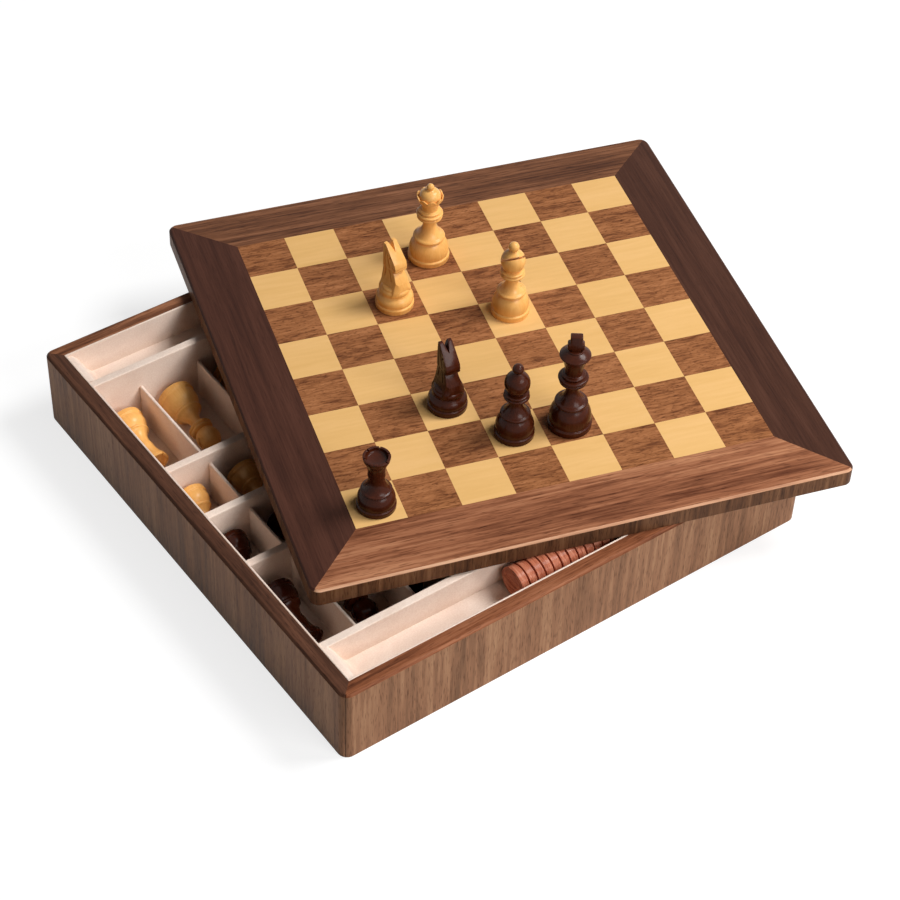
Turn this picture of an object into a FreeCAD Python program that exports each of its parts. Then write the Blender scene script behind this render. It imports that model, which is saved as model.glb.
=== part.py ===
import FreeCAD, Part
import math
import os

os.makedirs("parts", exist_ok=True)

# All lengths are in millimetres and angles in degrees. The origin is the middle of the case's
# underside, +X runs along the front wall to the right, +Y to the back wall and +Z up.

# Playing board, inlaid in the lid
square = 38.0
squares_per_side = 8
tile_thickness = 1.5
border_lap = 2.2

# Lid: a veneered slab with four mitred border strips that fall away from the playing field
lid_edge_height = 12.2
border_bevel = 1.4
border_fall = 3.4
bevel_reach_share = 1.5

# Where the lid lies on the case, turned and pushed aside so that the compartments show
lid_turn = -17.03
lid_shift_x = 73.5
lid_shift_y = 10.5

# Case: veneered walls, a bevelled rim strip on each wall, a panel underneath, a suede lining
case_height = 61.0
corner_radius = 7.0
wall_thickness = 11.0
rim_height = 1.6
lining_thickness = 1.5
base_thickness = 6.0
floor_lining_thickness = 2.0

# Chessmen, by kind: height and diameter of the foot
king_height = 81.5
king_foot = 30.8
queen_height = 66.8
queen_foot = 30.8
bishop_height = 63.5
bishop_foot = 28.0
knight_height = 61.0
knight_foot = 28.0
rook_height = 46.0
rook_foot = 27.0
pawn_height = 43.0
pawn_foot = 24.6

# Details cut into the chessmen
cross_width = 11.4
cross_thickness = 5.6
cross_height = 12.8
cross_seat = 1.1
slit_width = 1.1
slit_angle = 37.0
battlement_slot = 1.5
battlement_slots = 3
battlement_depth = 1.6
scallop_radius = 1.55
scallops = 9

# Draughts, twelve to a side, on edge in the troughs
draught_diameter = 24.0
draught_thickness = 6.6
draught_gap = 0.2
draughts_per_side = 12

# Compartments: room left round what lies in them, and the dividers between them
pawn_cell_room = 3.3
major_cell_room = 6.4
trough_room = 7.0
draught_headroom = 0.6
columns = 8
end_cell_share = 0.81
row_divider = 6.0
trough_divider = 6.0
column_divider = 2.4
trough_divider_drop = 2.0
row_divider_drop = 11.5
column_divider_drop = 20.0
trough_ledge = 9.0
trough_slope = 8.5

# Clearances
lying_gap = 0.2
cell_end_gap = 0.6
rook_end_gap = 6.2
bishop_end_gap = 3.4
overrun = 5.0

# Outlines of the turned men, from the middle of the foot up to the top of the axis. Each row is
# the radius as a share of the foot's radius, the height as a share of the turned height, and how
# far the stretch that arrives there bulges outwards, as a share of its length. A bulging stretch
# that ends on the axis is part of a ball.
king_shares = [
    (0, 0, 0), (1, 0, 0), (1, 0.045, 0), (0.955, 0.07, 0.2), (0.925, 0.076, 0),
    (0.665, 0.285, 0.13), (0.69, 0.29, 0), (0.69, 0.33, 0.35), (0.62, 0.335, 0),
    (0.318, 0.563, -0.15), (0.558, 0.571, 0), (0.558, 0.608, 0.4), (0.61, 0.612, 0),
    (0.61, 0.653, 0.4), (0.481, 0.656, 0), (0.481, 0.684, 0.4), (0.39, 0.689, 0),
    (0.643, 0.903, -0.06), (0.669, 0.911, 0), (0.669, 0.935, 0.3), (0.36, 0.975, 0.04),
    (0.33, 0.99, 0.2), (0, 1, 0),
]
queen_shares = [
    (0, 0, 0), (1, 0, 0), (1, 0.045, 0), (0.955, 0.07, 0.2), (0.93, 0.076, 0),
    (0.675, 0.268, 0.13), (0.705, 0.272, 0), (0.705, 0.312, 0.35), (0.64, 0.317, 0),
    (0.345, 0.545, -0.15), (0.545, 0.553, 0), (0.545, 0.59, 0.4), (0.575, 0.594, 0),
    (0.575, 0.63, 0.4), (0.49, 0.634, 0), (0.49, 0.662, 0.4), (0.39, 0.667, 0),
    (0.56, 0.79, -0.08), (0.645, 0.858, 0), (0.575, 0.856, 0), (0.52, 0.82, 0),
    (0.2, 0.925, 0.2), (0.15, 0.933, 0), (0, 1, 1),
]
bishop_shares = [
    (0, 0, 0), (1, 0, 0), (1, 0.048, 0), (0.95, 0.075, 0.2), (0.925, 0.082, 0),
    (0.67, 0.285, 0.13), (0.7, 0.29, 0), (0.7, 0.328, 0.35), (0.63, 0.333, 0),
    (0.345, 0.535, -0.15), (0.58, 0.542, 0), (0.58, 0.58, 0.4), (0.56, 0.584, 0),
    (0.56, 0.618, 0.4), (0.4, 0.624, 0), (0.22, 0.885, 0.27), (0.19, 0.892, 0),
    (0, 1, 1),
]
rook_shares = [
    (0, 0, 0), (1, 0, 0), (1, 0.06, 0), (0.955, 0.095, 0.2), (0.93, 0.103, 0),
    (0.72, 0.32, 0.14), (0.745, 0.326, 0), (0.745, 0.366, 0.35), (0.69, 0.372, 0),
    (0.45, 0.64, -0.13), (0.66, 0.93, -0.08), (0.69, 1, 0), (0.56, 1, 0),
    (0.5, 0.93, 0), (0, 0.9, 0),
]
pawn_shares = [
    (0, 0, 0), (1, 0, 0), (1, 0.06, 0), (0.955, 0.095, 0.2), (0.93, 0.103, 0),
    (0.675, 0.315, 0.14), (0.705, 0.32, 0), (0.705, 0.36, 0.35), (0.63, 0.366, 0),
    (0.36, 0.6, -0.13), (0.56, 0.612, 0), (0.56, 0.662, 0.4), (0.33, 0.67, 0),
    (0, 1, 1),
]
knight_foot_shares = [
    (0, 0, 0), (1, 0, 0), (1, 0.05, 0), (0.955, 0.078, 0.2), (0.93, 0.085, 0),
    (0.8, 0.195, 0.2), (0.74, 0.22, 0), (0.76, 0.23, 0), (0.72, 0.3, 0.2), (0.6, 0.34, 0.2),
    (0, 0.34, 0),
]

# The knight's carved head, from the side: forward as a share of the foot's radius, height as a
# share of the man's height, bulge. It runs from the foot up the chest to the throat, round the
# muzzle, up the straight face to the ears, and then down the mane.
horse_side_shares = [
    (-0.62, 0.25, 0), (0.6, 0.25, 0), (0.66, 0.38, 0.1), (0.22, 0.585, 0.05), (0.08, 0.6, 0),
    (0.3, 0.61, 0), (0.42, 0.66, 0.25), (-0.25, 0.9, 0), (-0.5, 1, 0), (-0.57, 0.92, 0.05),
    (-0.55, 0.7, 0), (-0.58, 0.45, 0), (-0.62, 0.25, 0),
]
# The same head from the front: half its width, from the top of the foot to the ears.
horse_front_shares = [
    (0.62, 0.25, 0), (0.58, 0.38, 0), (0.5, 0.5, 0), (0.42, 0.6, 0), (0.38, 0.75, 0), (0.33, 0.9, 0),
    (0.3, 1, 0),
]
# And from above: the round blank that it is carved out of.
horse_blank_share = 0.88

# The king's cross, one half: shares of half its width and of its height.
cross_shares = [(0.62, 0), (0.62, 0.14), (1, 0.1), (1, 0.5), (0.78, 0.53), (0.84, 1)]

# A draught: shares of its radius and of its thickness, with a dished face on each side.
draught_shares = [
    (0, 0.06, 0), (0.6, 0.06, 0), (0.66, 0, 0), (0.95, 0, 0), (1, 0.12, 0.2), (1, 0.88, 0),
    (0.95, 1, 0.2), (0.66, 1, 0), (0.6, 0.94, 0), (0, 0.94, 0),
]

# Heights at which the details sit, as shares of the man's height
balance_share = 0.36
slit_share = 0.775
slit_past_axis_share = 0.3
scallop_share = 0.853
scallop_inner_share = 0.56

# Men on the board: kind, place in squares from the board's middle, side they face. The king and
# the knights are turned a little further.
king_turn = -20.0
knight_turn = 24.0
standing_places_shares = {
    "dark_king": ("king", (0.51, -2.56), "back"),
    "dark_bishop": ("bishop", (-0.53, -2.5), "back"),
    "dark_knight": ("knight", (-1.45, -1.46), "front"),
    "dark_rook": ("rook", (-3.44, -3.5), "back"),
    "light_queen": ("queen", (-0.46, 2.64), "front"),
    "light_bishop": ("bishop", (0.52, 0.66), "front"),
    "light_knight": ("knight", (-1.52, 1.48), "front"),
}

# Men put away, each with its foot to the back of its cell: row, kind and columns. The three in the
# left column lie clear of the lid and can be lifted out past it, so each is a piece by itself.
stored_men = {
    "stored_left_light_rook": ("back_row", "rook", (0,)),
    "stored_right_light_rook": ("back_row", "rook", (columns - 1,)),
    "stored_light_bishop": ("back_row", "bishop", (1,)),
    "stored_light_knight": ("back_row", "knight", (2,)),
    "stored_light_king": ("back_row", "king", (3,)),
    "stored_left_light_pawn": ("light_pawn_row", "pawn", (0,)),
    "stored_light_pawns": ("light_pawn_row", "pawn", range(1, columns)),
    "stored_left_dark_pawn": ("dark_pawn_row", "pawn", (0,)),
    "stored_dark_pawns": ("dark_pawn_row", "pawn", range(1, columns)),
    "stored_dark_rook": ("front_row", "rook", (0,)),
    "stored_dark_bishop": ("front_row", "bishop", (1,)),
    "stored_dark_knight": ("front_row", "knight", (2,)),
    "stored_dark_queen": ("front_row", "queen", (3,)),
}

# Places worked out from the sizes above, from the middle outwards
pawn_near = row_divider / 2
pawn_far = pawn_near + pawn_height + pawn_cell_room
major_near = pawn_far + row_divider
major_far = major_near + king_height + major_cell_room
trough_near = major_far + trough_divider
inner_half = trough_near + draught_diameter + trough_room
cavity_half = inner_half + lining_thickness
case_half = cavity_half + wall_thickness
field_half = squares_per_side * square / 2 - border_lap

wall_top = case_height - rim_height
floor_top = base_thickness + floor_lining_thickness
trough_floor = case_height - draught_diameter - draught_headroom
trough_divider_top = case_height - trough_divider_drop
row_divider_top = case_height - row_divider_drop
column_divider_top = case_height - column_divider_drop
king_turned_height = king_height - cross_height + cross_seat
slab_top = case_height + lid_edge_height
arris_half = case_half - border_bevel
board_top = slab_top + border_bevel + border_fall

rows = {
    "back_row": (major_near, major_far),
    "light_pawn_row": (pawn_near, pawn_far),
    "dark_pawn_row": (-pawn_far, -pawn_near),
    "front_row": (-major_far, -major_near),
}
side_turns = {"front": 0, "right": 90, "back": 180, "left": 270}

origin = FreeCAD.Vector(0, 0, 0)
along_x = FreeCAD.Vector(1, 0, 0)
along_y = FreeCAD.Vector(0, 1, 0)
along_z = FreeCAD.Vector(0, 0, 1)


def vec(x, y, z):
    return FreeCAD.Vector(x, y, z)


def export(name, shapes):
    """Write one node: a single solid, or a group of separate solids."""
    solids = [solid for shape in shapes for solid in shape.Solids]
    node = solids[0] if len(solids) == 1 else Part.makeCompound(solids)
    node.exportStep("parts/" + name + ".step")


def block(x_span, y_span, z_span):
    """A box between two places on each axis."""
    low = vec(x_span[0], y_span[0], z_span[0])
    return Part.makeBox(x_span[1] - x_span[0], y_span[1] - y_span[0], z_span[1] - z_span[0], low)


def square_wire(half, z):
    corners = [vec(-half, -half, z), vec(half, -half, z), vec(half, half, z), vec(-half, half, z)]
    return Part.makePolygon(corners + corners[:1])


def rounded_square(half, radius, z):
    """A square outline with rounded corners, in the plane at height z."""
    flat = half - radius
    diagonal = flat + radius * math.sqrt(0.5)
    edges = []
    for turn in side_turns.values():
        edges.append((turn, Part.LineSegment(vec(-flat, -half, z), vec(flat, -half, z)).toShape()))
        corner = Part.Arc(vec(flat, -half, z), vec(diagonal, -diagonal, z), vec(half, -flat, z))
        edges.append((turn, corner.toShape()))
    for turn, edge in edges:
        edge.rotate(origin, along_z, turn)
    return Part.Wire([edge for turn, edge in edges])


def rounded_prism(half, radius, z_span):
    face = Part.Face(rounded_square(half, radius, z_span[0]))
    return face.extrude(vec(0, 0, z_span[1] - z_span[0]))


def bevelled(half, radius, z_span):
    """A rounded square block whose sides lean in at 45 degrees from its foot."""
    rise = z_span[1] - z_span[0]
    foot = rounded_square(half, radius, z_span[0])
    head = rounded_square(half - rise, radius - rise, z_span[1])
    return Part.makeLoft([foot, head], True, True)


def square_block(half, z_span):
    return block((-half, half), (-half, half), z_span)


def mitred_sides(ring, z_span):
    """The ring cut along its diagonals into a front, right, back and left piece."""
    reach = case_half + overrun
    corner = [origin, vec(-reach, -reach, 0), vec(reach, -reach, 0), origin]
    wedge = Part.Face(Part.makePolygon(corner)).extrude(vec(0, 0, z_span[1] - z_span[0]))
    wedge.translate(vec(0, 0, z_span[0]))
    pieces = {}
    for side, turn in side_turns.items():
        quarter = wedge.copy()
        quarter.rotate(origin, along_z, turn)
        pieces[side] = ring.common(quarter)
    return pieces


def stretch(start, end, bulge_share):
    """A line, or an arc that stands out to the right of the way from start to end."""
    if bulge_share == 0:
        return Part.LineSegment(start, end).toShape()
    if end.x == 0:
        return ball_stretch(start, end)
    run = end - start
    middle = (start + end) / 2 + vec(run.z, 0, -run.x) * bulge_share
    return Part.Arc(start, middle, end).toShape()


def ball_stretch(start, top):
    """An arc up to the axis whose centre lies on the axis, so that turning it makes a ball."""
    rise = top.z - start.z
    radius = (rise ** 2 + start.x ** 2) / (2 * rise)
    return Part.Arc(start, vec(radius, 0, top.z - radius), top).toShape()


def outline(shares, width, height):
    """Edges through a table of shares, in the XZ plane."""
    points = [vec(row[0] * width, 0, row[1] * height) for row in shares]
    return [stretch(points[i], points[i + 1], shares[i + 1][2]) for i in range(len(points) - 1)]


def closed_face(edges):
    """The face inside a chain of edges, closed by a straight line from its end to its start."""
    start = edges[0].firstVertex(True).Point
    end = edges[-1].lastVertex(True).Point
    return Part.Face(Part.Wire(edges + [Part.LineSegment(end, start).toShape()]))


def mirrored_face(right):
    """The face between a polygon's right half and its mirror image in the YZ plane."""
    left = [vec(-point.x, point.y, point.z) for point in reversed(right)]
    return Part.Face(Part.makePolygon(right + left + right[:1]))


def turned(shares, diameter, height):
    """A solid of revolution about the Z axis."""
    return closed_face(outline(shares, diameter / 2, height)).revolve(origin, along_z, 360)


def king():
    body = turned(king_shares, king_foot, king_turned_height)
    right = [vec(row[0] * cross_width / 2, 0, row[1] * cross_height) for row in cross_shares]
    cross = mirrored_face(right).extrude(along_y * cross_thickness)
    cross.translate(vec(0, -cross_thickness / 2, king_height - cross_height))
    return body.fuse(cross).removeSplitter()


def queen():
    body = turned(queen_shares, queen_foot, queen_height)
    notch = Part.makeCylinder(scallop_radius, queen_foot, origin, along_x)
    notch.translate(vec(scallop_inner_share * queen_foot / 2, 0, scallop_share * queen_height))
    notches = []
    for step in range(scallops):
        turned_notch = notch.copy()
        turned_notch.rotate(origin, along_z, 360 * step / scallops)
        notches.append(turned_notch)
    return body.cut(Part.makeCompound(notches))


def bishop():
    body = turned(bishop_shares, bishop_foot, bishop_height)
    radius = bishop_foot / 2
    past_axis = slit_past_axis_share * radius
    slit = block((-radius, radius), (-bishop_foot, past_axis), (-slit_width / 2, slit_width / 2))
    slit.rotate(origin, along_x, -slit_angle)
    slit.translate(vec(0, 0, slit_share * bishop_height))
    return body.cut(slit)


def rook():
    body = turned(rook_shares, rook_foot, rook_height)
    slot_span = (rook_height - battlement_depth, rook_height + overrun)
    half_slot = battlement_slot / 2
    slot = block((-rook_foot, rook_foot), (-half_slot, half_slot), slot_span)
    for step in range(battlement_slots):
        turned_slot = slot.copy()
        turned_slot.rotate(origin, along_z, 180 * step / battlement_slots)
        body = body.cut(turned_slot)
    return body


def pawn():
    return turned(pawn_shares, pawn_foot, pawn_height)


def knight():
    """A turned foot under a carved horse's head that looks towards -Y."""
    radius = knight_foot / 2
    side = Part.Face(Part.Wire(outline(horse_side_shares, radius, knight_height)))
    head = side.extrude(along_y * knight_foot)
    head.translate(vec(0, -radius, 0))
    head.rotate(origin, along_z, -90)
    blank = Part.makeCylinder(horse_blank_share * radius, knight_height)
    right = [vec(row[0] * radius, 0, row[1] * knight_height) for row in horse_front_shares]
    front = mirrored_face(right).extrude(along_y * knight_foot)
    front.translate(vec(0, -radius, 0))
    foot = turned(knight_foot_shares, knight_foot, knight_height)
    return foot.fuse(head.common(front).common(blank)).removeSplitter()


# What each kind rests on when it lies down: the tables of its outline, its foot and its height
points_per_stretch = 12
resting_tables = {
    "king": ([king_shares], king_foot, king_turned_height),
    "queen": ([queen_shares], queen_foot, queen_height),
    "bishop": ([bishop_shares], bishop_foot, bishop_height),
    "knight": ([knight_foot_shares, horse_front_shares], knight_foot, knight_height),
    "rook": ([rook_shares], rook_foot, rook_height),
    "pawn": ([pawn_shares], pawn_foot, pawn_height),
}
men = {
    "king": king(), "queen": queen(), "bishop": bishop(),
    "knight": knight(), "rook": rook(), "pawn": pawn(),
}


def resting_line(kind):
    """Radius at the foot and lean of the straight line that a lying man touches the floor along."""
    tables, foot, height = resting_tables[kind]
    balance = balance_share * height
    edges = [edge for table in tables for edge in outline(table, foot / 2, height)]
    points = [point for edge in edges for point in edge.discretize(points_per_stretch)]
    below = [point for point in points if point.z <= balance]
    above = [point for point in points if point.z > balance]
    best = None
    for low in below:
        for high in above:
            lean = (high.x - low.x) / (high.z - low.z)
            level = low.x + lean * (balance - low.z)
            if best is None or level > best[0]:
                best = (level, level - lean * balance, lean)
    return best[1], best[2]


def lying(kind):
    """A man on its side on the floor at height 0, with the end of its foot at Y 0, head to -Y."""
    radius, lean = resting_line(kind)
    tilt = -math.atan(lean)
    foot = resting_tables[kind][1]
    man = men[kind].copy()
    if kind == "knight":
        man.rotate(origin, along_z, 90)
    man.rotate(origin, along_x, 90 + math.degrees(tilt))
    man.translate(vec(0, -foot / 2 * math.sin(tilt), radius * math.cos(tilt) + lying_gap))
    return man


def on_lid(shape):
    """Turn and shift a shape from the lid's own middle to where the lid lies."""
    placed = shape.copy()
    placed.rotate(origin, along_z, lid_turn)
    placed.translate(vec(lid_shift_x, lid_shift_y, 0))
    return placed


def build_case():
    opening = square_block(cavity_half, (-overrun, case_height + overrun))
    walls = rounded_prism(case_half, corner_radius, (0, wall_top)).cut(opening)
    for side, wall in mitred_sides(walls, (0, wall_top)).items():
        export(side + "_wall", [wall])
    rim = bevelled(case_half, corner_radius, (wall_top, case_height)).cut(opening)
    for side, strip in mitred_sides(rim, (wall_top, case_height)).items():
        export(side + "_rim_strip", [strip])

    export("base_panel", [square_block(cavity_half, (0, base_thickness))])
    floor_span = (base_thickness, floor_top)
    export("floor_lining", [block((-inner_half, inner_half), (-major_far, major_far), floor_span)])
    lining_span = (base_thickness, case_height)
    across = (-cavity_half, cavity_half)
    between = (-inner_half, inner_half)
    export("front_lining", [block(across, (-cavity_half, -inner_half), lining_span)])
    export("back_lining", [block(across, (inner_half, cavity_half), lining_span)])
    export("left_lining", [block((-cavity_half, -inner_half), between, lining_span)])
    export("right_lining", [block((inner_half, cavity_half), between, lining_span)])


def build_trough(side, sign):
    """One long trough: its divider and the raised bed with a scooped slope at each end."""
    near, far = sorted((sign * major_far, sign * trough_near))
    divider = block((-inner_half, inner_half), (near, far), (base_thickness, trough_divider_top))
    export(side + "_trough_divider", [divider])
    ledge = inner_half - trough_ledge
    foot = ledge - trough_slope
    right = [
        vec(inner_half, 0, base_thickness), vec(inner_half, 0, trough_divider_top),
        vec(ledge, 0, trough_divider_top), vec(foot, 0, trough_floor),
    ]
    width = inner_half - trough_near
    bed = mirrored_face(right).extrude(along_y * width)
    bed.translate(vec(0, min(sign * trough_near, sign * inner_half), 0))
    export(side + "_trough_bed", [bed])


def build_draughts(name, sign):
    """A stack of draughts on edge in the middle of a trough, their flat faces along X."""
    disc = turned(draught_shares, draught_diameter, draught_thickness)
    disc.rotate(origin, along_y, 90)
    pitch = draught_thickness + draught_gap
    first = -(draughts_per_side * pitch - draught_gap) / 2
    middle = sign * (trough_near + inner_half) / 2
    height = trough_floor + draught_diameter / 2 + lying_gap
    stack = []
    for step in range(draughts_per_side):
        one = disc.copy()
        one.translate(vec(first + step * pitch, middle, height))
        stack.append(one)
    export(name, stack)


def build_compartments():
    """Row dividers, the thin column dividers between them, and the middle of each column."""
    for name, middle in (("back", (pawn_far + major_near) / 2), ("middle", 0),
                         ("front", -(pawn_far + major_near) / 2)):
        span = (middle - row_divider / 2, middle + row_divider / 2)
        divider = block((-inner_half, inner_half), span, (floor_top, row_divider_top))
        export(name + "_row_divider", [divider])

    free = 2 * inner_half - (columns - 1) * column_divider
    inner_cell = free / (columns - 2 + 2 * end_cell_share)
    widths = [end_cell_share * inner_cell] + [inner_cell] * (columns - 2)
    widths.append(end_cell_share * inner_cell)
    left = -inner_half
    middles = []
    partitions = []
    for width in widths:
        middles.append(left + width / 2)
        left += width
        partitions.append((left, left + column_divider))
        left += column_divider
    for row, span in rows.items():
        column_span = (floor_top, column_divider_top)
        group = [block(place, span, column_span) for place in partitions[:-1]]
        export(row + "_partitions", group)
    return middles


def build_stored_men(column_middles):
    end_gaps = {"rook": rook_end_gap, "bishop": bishop_end_gap}
    for name, (row, kind, places) in stored_men.items():
        end = rows[row][1] - end_gaps.get(kind, cell_end_gap)
        group = []
        for place in places:
            man = lying(kind)
            man.translate(vec(column_middles[place], end, floor_top))
            group.append(man)
        export(name, group)


def build_lid():
    slab = rounded_prism(case_half, corner_radius, (case_height, slab_top))
    plateau = square_block(field_half, (case_height, board_top - tile_thickness))
    export("lid_core", [on_lid(slab.fuse(plateau).removeSplitter())])

    reach = border_bevel * bevel_reach_share
    bevel_top = slab_top + reach
    strips = bevelled(case_half, corner_radius, (slab_top, bevel_top))
    above = rounded_prism(case_half - reach, corner_radius - reach, (bevel_top, board_top))
    strips = strips.fuse(above)
    fall_run = (arris_half - field_half) / border_fall
    roof_foot = square_wire(field_half + fall_run * (board_top - slab_top), slab_top)
    roof = Part.makeLoft([roof_foot, square_wire(field_half, board_top)], True, True)
    field = square_block(field_half, (slab_top - overrun, board_top + overrun))
    strips = strips.common(roof).cut(field)
    for side, strip in mitred_sides(strips, (slab_top, board_top)).items():
        export(side + "_border_strip", [on_lid(strip)])

    tiles = {"light_squares": [], "dark_squares": []}
    tile_span = (board_top - tile_thickness, board_top)
    lines = [(step - squares_per_side / 2) * square for step in range(1, squares_per_side)]
    lines = [-field_half] + lines + [field_half]
    for i in range(squares_per_side):
        for j in range(squares_per_side):
            x_span = (lines[i], lines[i + 1])
            y_span = (lines[j], lines[j + 1])
            colour = "dark_squares" if (i + j) % 2 else "light_squares"
            tiles[colour].append(on_lid(block(x_span, y_span, tile_span)))
    for name, group in tiles.items():
        export(name, group)


def build_standing_men():
    further = {"king": king_turn, "knight": knight_turn}
    for name, (kind, place, facing) in standing_places_shares.items():
        man = men[kind].copy()
        man.rotate(origin, along_z, side_turns[facing] + further.get(kind, 0))
        man.translate(vec(place[0] * square, place[1] * square, board_top))
        export(name, [on_lid(man)])


build_case()
build_trough("front", -1)
build_trough("back", 1)
build_draughts("dark_draughts", -1)
build_draughts("light_draughts", 1)
build_stored_men(build_compartments())
build_lid()
build_standing_men()
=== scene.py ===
import bmesh
import bpy
import math
import random
from mathutils import Matrix, Vector


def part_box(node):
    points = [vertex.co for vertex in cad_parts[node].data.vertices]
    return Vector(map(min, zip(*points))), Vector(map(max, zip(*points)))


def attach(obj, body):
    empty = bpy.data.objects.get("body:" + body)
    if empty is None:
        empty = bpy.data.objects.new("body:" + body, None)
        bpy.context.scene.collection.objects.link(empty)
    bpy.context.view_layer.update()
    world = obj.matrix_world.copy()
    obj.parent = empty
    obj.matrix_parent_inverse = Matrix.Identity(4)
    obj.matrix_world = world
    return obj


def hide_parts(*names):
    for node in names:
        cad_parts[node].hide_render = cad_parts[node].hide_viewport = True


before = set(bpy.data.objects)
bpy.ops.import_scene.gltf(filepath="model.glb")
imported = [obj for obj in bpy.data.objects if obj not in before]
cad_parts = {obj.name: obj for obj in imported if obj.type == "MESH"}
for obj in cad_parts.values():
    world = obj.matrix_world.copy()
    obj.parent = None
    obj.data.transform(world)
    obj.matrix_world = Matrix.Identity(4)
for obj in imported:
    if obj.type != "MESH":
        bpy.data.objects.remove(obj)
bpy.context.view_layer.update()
scene = bpy.context.scene
scene.view_settings.view_transform = "Standard"

# Case walls: four boards with rounded ends, mitred into a square and faced with walnut veneer
# whose grain runs upright. Every wooden finish of the set is mixed by wood(), below.
wall_edge = 0.0002
wall_tones = ((116, 82, 59), (146, 104, 76), (170, 128, 96))
quarter_turn = math.radians(90)
upright = (0, quarter_turn, 0)
black, white = (0, 0, 0, 1), (1, 1, 1, 1)
tone_stops, pore_stops = (0.36, 0.5, 0.64), (0.56, 0.7)
streak_rise, grain_strength, rough_spread, coat_rough = 0.6, 0.6, 0.12, 0.15
flat_angle, fold_angle = math.radians(0.4), math.radians(28)
weld = 0.000002


def shown(red, green, blue):
    """A colour as a screen shows it, from 0 to 255, as the linear colour that a shader takes."""
    linear = []
    for value in (red, green, blue):
        part = value / 255
        linear.append(part / 12.92 if part <= 0.04045 else ((part + 0.055) / 1.055) ** 2.4)
    return (*linear, 1)


def feed(tree, node, inputs):
    """Link a node's inputs to sockets, or set them to plain values."""
    for place, value in inputs.items():
        if isinstance(value, bpy.types.NodeSocket):
            tree.links.new(value, node.inputs[place])
        else:
            node.inputs[place].default_value = value


def added(tree, kind, inputs=None, **settings):
    """The outputs of a new node with the inputs and settings given."""
    node = tree.nodes.new(kind)
    for name, value in settings.items():
        setattr(node, name, value)
    feed(tree, node, inputs or {})
    return node.outputs


def noise_at(tree, place, stretch, detail=2, distortion=0):
    """Noise whose features are as long, wide and deep as stretch says, in metres."""
    scaled = added(tree, "ShaderNodeVectorMath", {0: place, 1: stretch}, operation="DIVIDE")
    noise = added(tree, "ShaderNodeTexNoise", {"Vector": scaled[0], "Scale": 1, "Detail": detail,
                                               "Distortion": distortion})
    return noise["Fac"]


def ramp_of(tree, value, places, colours):
    """Colours blended along a value, each at its place from 0 to 1."""
    ramp = tree.nodes.new("ShaderNodeValToRGB")
    stops = list(zip(places, colours))
    first, last = ramp.color_ramp.elements
    first.position, first.color = stops[0]
    last.position, last.color = stops[-1]
    for place, colour in stops[1:-1]:
        ramp.color_ramp.elements.new(place).color = colour
    feed(tree, ramp, {"Fac": value})
    return ramp.outputs["Color"]


def math_of(tree, operation, first, second):
    """One sum on two values, each a socket or a number."""
    return added(tree, "ShaderNodeMath", {0: first, 1: second}, operation=operation)[0]


def blend_of(tree, first, second, share):
    """Two values added up, the second by its share and the first by the rest."""
    rest = math_of(tree, "MULTIPLY", first, 1 - share)
    return math_of(tree, "ADD", rest, math_of(tree, "MULTIPLY", second, share))


def span_of(tree, value, low, high):
    """A value from 0 to 1 brought into the span from low to high."""
    return added(tree, "ShaderNodeMapRange", {"Value": value, "To Min": low, "To Max": high})["Result"]


def darkened(tree, share, colour, shade):
    """A colour multiplied by a shade, as far as share says."""
    factor, first, second, result = 0, 6, 7, 2
    mix = added(tree, "ShaderNodeMix", {factor: share, first: colour, second: shade},
                data_type="RGBA", blend_type="MULTIPLY")
    return mix[result]


def new_finish(name):
    """A new material, its tree of nodes and the shader that it starts with."""
    finish = bpy.data.materials.new(name)
    finish.use_nodes = True
    return finish, finish.node_tree, finish.node_tree.nodes["Principled BSDF"]


def wood(name, tones, turn=(0, 0, 0), at=(0, 0, 0), own="", figure=0.014, streak=0.0022, pore=0.0007,
         run=18, pore_depth=0.5, streak_share=0.5, rough=0.42, coat=0.0, gloss=0.06, relief=0.00005):
    """Grained wood under lacquer. tones are a dark, a middle and a light colour. The grain runs
    along X once the place is turned by turn and shifted by at. own names an attribute of the
    piece that holds its place in its own block of wood, used in place of the object's."""
    finish, tree, shader = new_finish(name)
    if own:
        place = added(tree, "ShaderNodeAttribute", attribute_name=own)["Vector"]
    else:
        place = added(tree, "ShaderNodeTexCoord")["Object"]
    grain = added(tree, "ShaderNodeMapping", {"Vector": place, "Rotation": turn, "Location": at})["Vector"]

    wear = figure * 5
    broad = noise_at(tree, grain, (figure * run, figure, figure), detail=3, distortion=0.8)
    fine = noise_at(tree, grain, (streak * run, streak, streak), detail=4, distortion=0.3)
    pores = noise_at(tree, grain, (pore * run / 2, pore, pore), detail=1)
    smudge = noise_at(tree, grain, (wear, wear, wear))
    dark, middle, light = [shown(*tone) for tone in tones]
    colour = ramp_of(tree, blend_of(tree, broad, fine, streak_share), tone_stops, (dark, middle, light))
    open_pores = ramp_of(tree, pores, pore_stops, (black, white))
    pored = darkened(tree, math_of(tree, "MULTIPLY", open_pores, pore_depth), colour, dark)

    sheen = span_of(tree, blend_of(tree, fine, smudge, 0.5), rough - rough_spread, rough + rough_spread)
    height = math_of(tree, "SUBTRACT", math_of(tree, "MULTIPLY", fine, streak_rise), open_pores)
    bump = added(tree, "ShaderNodeBump", {"Strength": grain_strength, "Distance": relief, "Height": height})
    feed(tree, shader, {
        "Base Color": pored, "Roughness": sheen, "Normal": bump["Normal"], "Specular IOR Level": gloss,
        "Coat Weight": coat, "Coat Roughness": coat_rough,
    })
    return finish


def new_piece(name, mesh, body, nodes):
    """Put a finished mesh into the scene, on its body and in place of the solids it stands for."""
    piece = bpy.data.objects.new(name, mesh)
    scene.collection.objects.link(piece)
    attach(piece, body)
    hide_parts(*nodes)


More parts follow.
